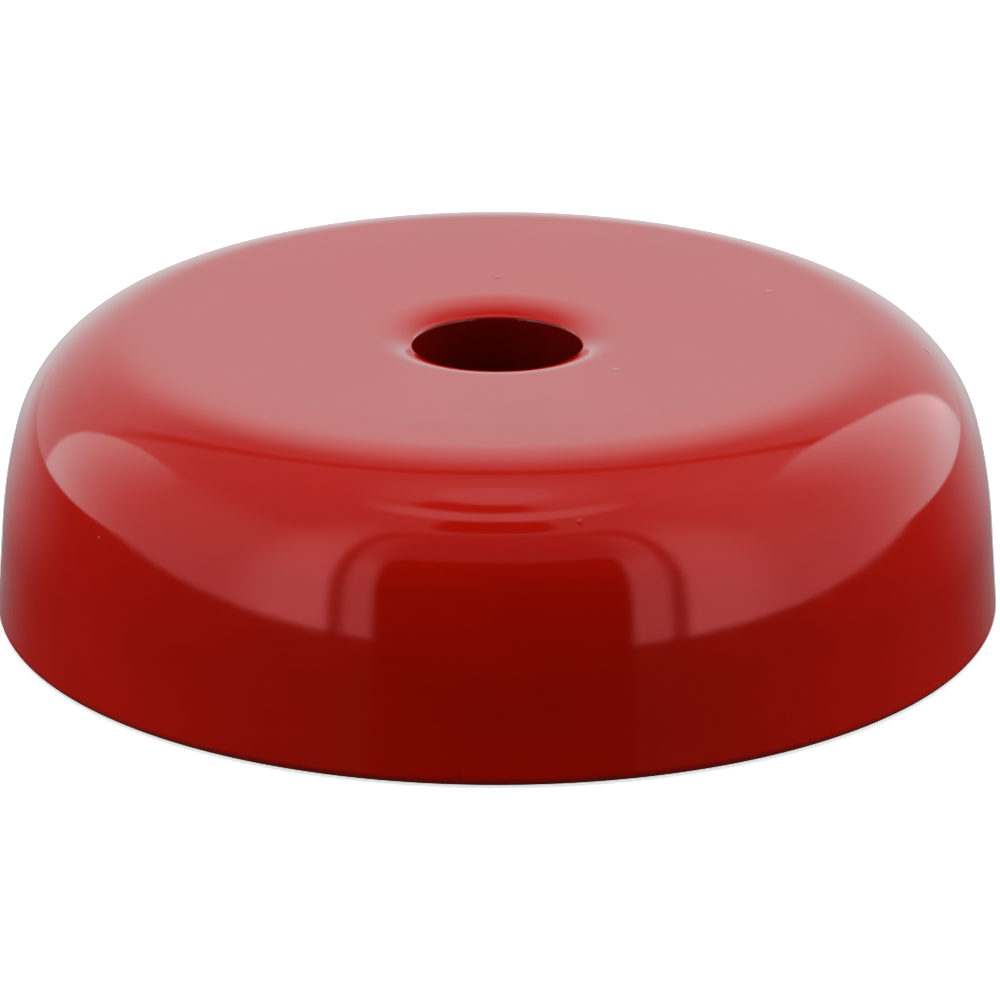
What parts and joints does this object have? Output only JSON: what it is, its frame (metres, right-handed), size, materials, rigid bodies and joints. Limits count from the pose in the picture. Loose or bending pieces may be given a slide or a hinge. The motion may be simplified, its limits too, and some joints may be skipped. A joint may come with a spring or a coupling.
{
  "type": "shallow pot magnet",
  "caption": "Round, shallow, red enamelled pot magnet with a rounded shoulder and a stepped hole through its centre for a fixing screw.",
  "frame": {"origin": "centre of the pole face, on the plane that the magnet grips with", "axes": "+Z along the axis of the pot and the hole, from the pole face to the painted back; X and Y are equivalent"},
  "size_m": [0.0286, 0.0286, 0.0084],
  "materials": {
    "red_enamel": "thick red stove enamel with a wet gloss on mild steel; the ring of the pole face is ground bare",
    "cast_magnet_alloy": "sand-cast dark grey with a fine grain, ground bright on the pole face",
    "turned_brass": "turned, with fine concentric tool marks",
    "dark_cement": "hardened dark filling compound, slightly uneven"
  },
  "bodies": {
    "root": {"pot_shell": "red_enamel", "magnet_core": "cast_magnet_alloy", "spacer_ring": "turned_brass", "core_cement": "dark_cement"}
  },
  "joints": []
}
